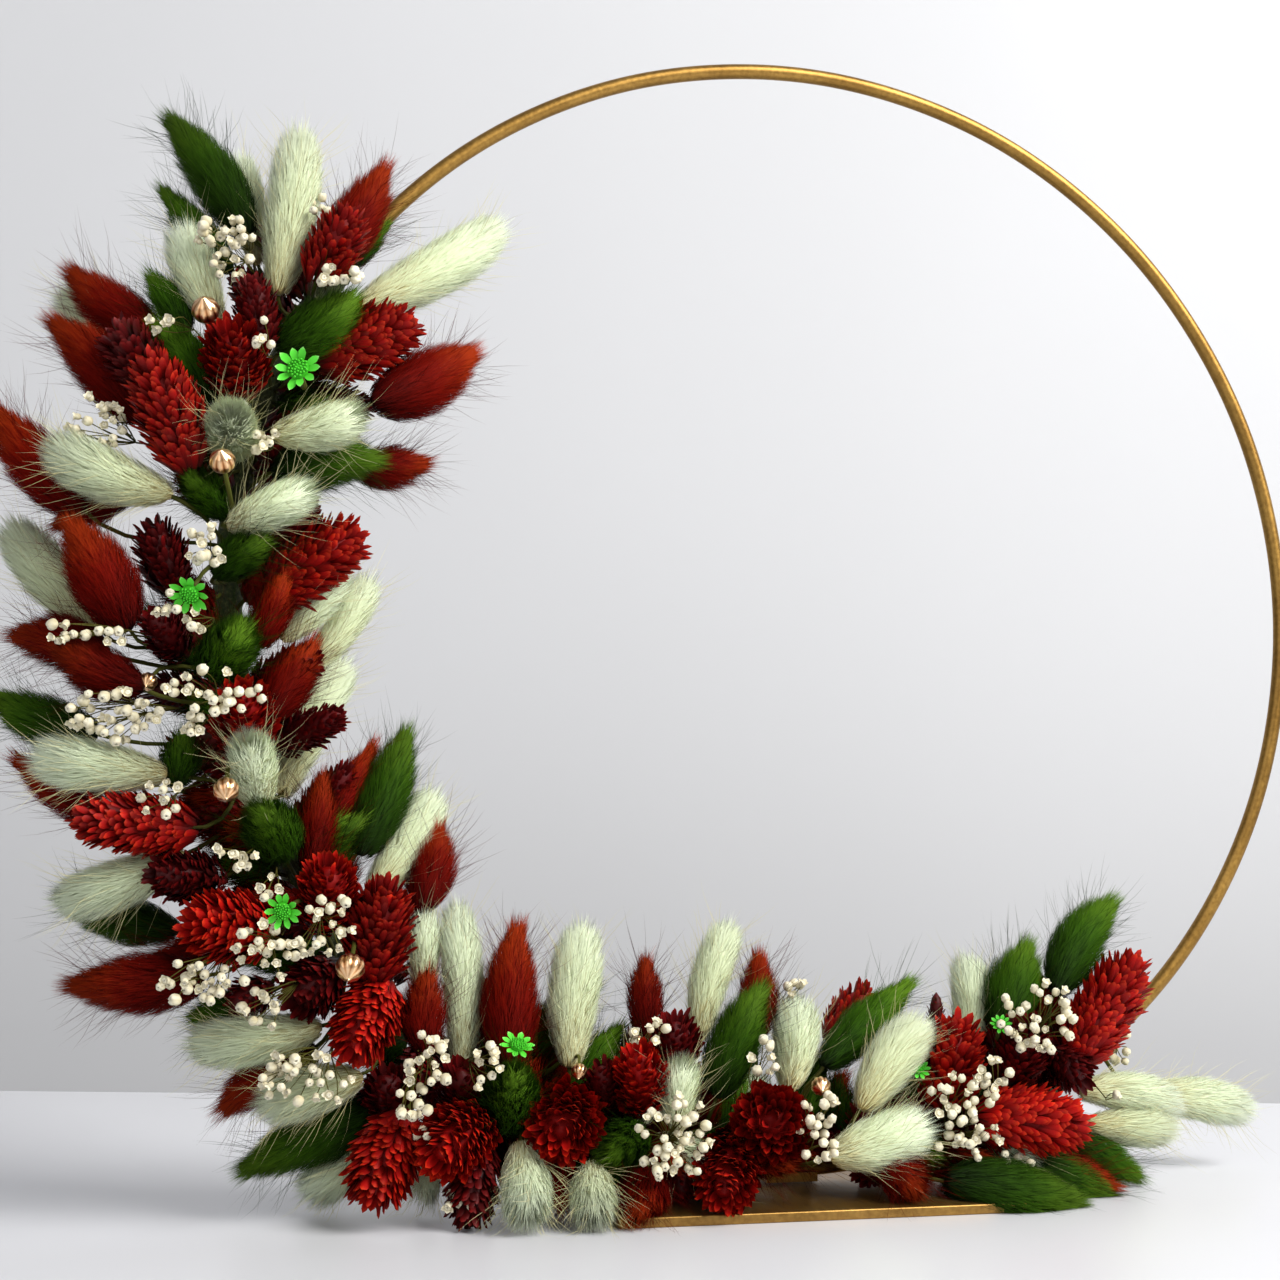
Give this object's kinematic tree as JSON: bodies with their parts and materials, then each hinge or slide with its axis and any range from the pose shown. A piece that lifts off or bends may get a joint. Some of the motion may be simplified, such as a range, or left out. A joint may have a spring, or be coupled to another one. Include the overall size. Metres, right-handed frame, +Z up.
{
  "type": "dried flower hoop",
  "caption": "Standing metal hoop on a flat base plate, its left side and bottom dressed with dried bunny tails, canary grass, daisies, seed pods and baby's breath.",
  "frame": {"origin": "centre of the base plate's underside, on the table", "axes": "+Z up through the hoop's centre; the hoop lies in the XZ plane and its dressed face looks towards -Y; +X is to the viewer's right"},
  "size_m": [0.356, 0.0944, 0.3035],
  "materials": {
    "babys_breath": "dry papery buds, cream",
    "floral_tape": "matt crepe tape",
    "gold_metal": "satin gold lacquer",
    "gold_plate": "satin gold lacquer on flat sheet",
    "gold_seed_pod": "metallic copper-gold coat on a dry pod",
    "gold_weld": "satin gold over a weld bead",
    "green_bunny_tail": "soft dry fur, moss green",
    "green_button_daisy": "dyed dry petals, vivid green",
    "maroon_canary_grass": "dry papery bracts, dark maroon",
    "pale_bunny_tail": "soft dry fur, cream with a mint tint",
    "red_bunny_tail": "soft dry fur, brick red",
    "red_canary_grass": "dry papery bracts, blood red"
  },
  "bodies": {
    "root": {"base_plate": "gold_plate", "cream_babys_breath_1": "babys_breath", "cream_babys_breath_4": "babys_breath", "cream_babys_breath_5": "babys_breath", "cream_babys_breath_6": "babys_breath", "cream_babys_breath_7": "babys_breath", "cream_babys_breath_8": "babys_breath", "gold_seed_pods_1": "gold_seed_pod", "gold_seed_pods_2": "gold_seed_pod", "gold_seed_pods_4": "gold_seed_pod", "gold_seed_pods_5": "gold_seed_pod", "gold_seed_pods_7": "gold_seed_pod", "green_bunny_tails_1": "green_bunny_tail", "green_bunny_tails_2": "green_bunny_tail", "green_bunny_tails_3": "green_bunny_tail", "green_bunny_tails_4": "green_bunny_tail", "green_bunny_tails_5": "green_bunny_tail", "green_bunny_tails_6": "green_bunny_tail", "green_bunny_tails_7": "green_bunny_tail", "green_bunny_tails_8": "green_bunny_tail", "green_button_daisies_1": "green_button_daisy", "green_button_daisies_2": "green_button_daisy", "green_button_daisies_5": "green_button_daisy", "green_button_daisies_6": "green_button_daisy", "hoop": "gold_metal", "hoop_weld": "gold_weld", "maroon_canary_grass_1": "maroon_canary_grass", "maroon_canary_grass_2": "maroon_canary_grass", "maroon_canary_grass_3": "maroon_canary_grass", "maroon_canary_grass_5": "maroon_canary_grass", "maroon_canary_grass_6": "maroon_canary_grass", "maroon_canary_grass_7": "maroon_canary_grass", "maroon_canary_grass_8": "maroon_canary_grass", "pale_bunny_tails_1": "pale_bunny_tail", "pale_bunny_tails_2": "pale_bunny_tail", "pale_bunny_tails_3": "pale_bunny_tail", "pale_bunny_tails_4": "pale_bunny_tail", "pale_bunny_tails_5": "pale_bunny_tail", "pale_bunny_tails_6": "pale_bunny_tail", "pale_bunny_tails_7": "pale_bunny_tail", "pale_bunny_tails_8": "pale_bunny_tail", "red_bunny_tails_1": "red_bunny_tail", "red_bunny_tails_2": "red_bunny_tail", "red_bunny_tails_3": "red_bunny_tail", "red_bunny_tails_4": "red_bunny_tail", "red_bunny_tails_5": "red_bunny_tail", "red_bunny_tails_6": "red_bunny_tail", "red_bunny_tails_7": "red_bunny_tail", "red_bunny_tails_8": "red_bunny_tail", "red_canary_grass_1": "red_canary_grass", "red_canary_grass_2": "red_canary_grass", "red_canary_grass_3": "red_canary_grass", "red_canary_grass_4": "red_canary_grass", "red_canary_grass_5": "red_canary_grass", "red_canary_grass_6": "red_canary_grass", "red_canary_grass_7": "red_canary_grass", "red_canary_grass_8": "red_canary_grass", "stem_tape_left": "floral_tape", "stem_tape_right": "floral_tape"}
  },
  "joints": []
}
